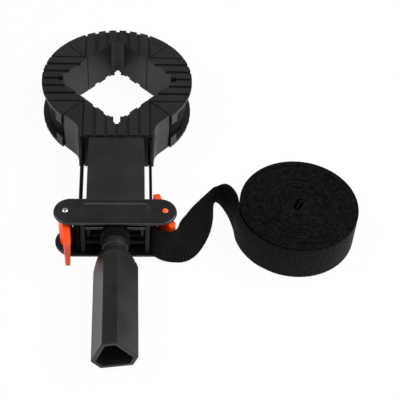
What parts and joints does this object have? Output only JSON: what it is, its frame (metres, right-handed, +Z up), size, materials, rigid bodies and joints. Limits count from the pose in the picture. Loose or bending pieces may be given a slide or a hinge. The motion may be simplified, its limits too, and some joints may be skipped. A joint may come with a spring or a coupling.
{
  "type": "band frame clamp",
  "caption": "Band frame clamp: a ring of notched corner jaws on a flat webbing band, a sliding neck, a yoke with release levers and a hollow screw handle, with the spare band coiled beside it.",
  "frame": {"origin": "middle of the clamp's bounding box without the free band, on the flat surface that it lies on", "axes": "+Y from the handle towards the ring of jaws, +Z up from the surface that the clamp lies on, +X towards the coil"},
  "size_m": [0.2033, 0.2678, 0.0321],
  "materials": {
    "jaw_plastic": "satin moulded black",
    "neck_plastic": "smooth satin black",
    "nut_brass": "machined",
    "painted_plate": "gloss black paint on pressed steel",
    "yoke_plastic": "satin moulded black",
    "bright_steel": "bright zinc",
    "orange_paint": "gloss orange paint",
    "orange_plastic": "gloss orange-red",
    "grip_plastic": "satin moulded black",
    "webbing": "woven black webbing with fine cross ribs"
  },
  "bodies": {
    "yoke": {"yoke_top_plate": "painted_plate", "yoke_bottom_plate": "painted_plate", "left_side_wall": "yoke_plastic", "right_side_wall": "yoke_plastic", "left_spacer_post": "yoke_plastic", "right_spacer_post": "yoke_plastic", "bearing_block": "yoke_plastic", "lower_cross_pin": "bright_steel", "upper_cross_pin": "bright_steel", "left_pivot_pin": "bright_steel", "right_pivot_pin": "orange_paint", "left_band_run": "webbing", "right_band_run": "webbing", "band_tail": "webbing", "band_coil": "webbing"},
    "nose": {"fixed_jaw": "jaw_plastic", "neck_shell": "neck_plastic", "neck_cover": "neck_plastic", "spindle_nut": "nut_brass", "left_band_bend": "webbing", "right_band_bend": "webbing"},
    "right_jaw_body": {"right_jaw": "jaw_plastic", "right_band_loop": "webbing"},
    "far_jaw_body": {"far_jaw": "jaw_plastic", "far_band_loop": "webbing"},
    "left_jaw_body": {"left_jaw": "jaw_plastic", "left_band_loop": "webbing"},
    "handle": {"handle_grip": "grip_plastic", "spindle_screw": "bright_steel", "spindle_clip": "bright_steel", "thrust_washer": "bright_steel"},
    "left_lever": {"left_release_lever": "orange_plastic", "left_lever_bush": "bright_steel"},
    "right_lever": {"right_release_lever": "orange_plastic", "right_lever_bush": "bright_steel"}
  },
  "joints": [
    {"name": "handle_turn", "type": "hinge", "parent": "yoke", "child": "handle", "pos_m": [0, -0.0485, 0.015], "axis": [0, 1, 0], "range_deg": [0, 900]},
    {"name": "nose_slide", "type": "slide", "parent": "yoke", "child": "nose", "axis": [0, 1, 0], "range_m": [0, 0.01]},
    {"name": "right_jaw_part", "type": "slide", "parent": "nose", "child": "right_jaw_body", "axis": [0.7071, 0.7071, 0], "range_m": [0, 0.008]},
    {"name": "far_jaw_part", "type": "slide", "parent": "right_jaw_body", "child": "far_jaw_body", "axis": [-0.7071, 0.7071, 0], "range_m": [0, 0.008]},
    {"name": "left_jaw_part", "type": "slide", "parent": "far_jaw_body", "child": "left_jaw_body", "axis": [-0.7071, -0.7071, 0], "range_m": [0, 0.008]},
    {"name": "left_lever_swing", "type": "hinge", "parent": "yoke", "child": "left_lever", "pos_m": [-0.0306, -0.0381, 0.015], "axis": [0, 0, 1], "range_deg": [-32, 0]},
    {"name": "right_lever_swing", "type": "hinge", "parent": "yoke", "child": "right_lever", "pos_m": [0.0306, -0.0381, 0.015], "axis": [0, 0, 1], "range_deg": [-38, 0]}
  ],
  "couplings": [
    {"joint": "handle_turn", "follows": "nose_slide", "rad_per_m": 1570.8},
    {"joint": "left_jaw_part", "follows": "right_jaw_part", "ratio": 1}
  ]
}
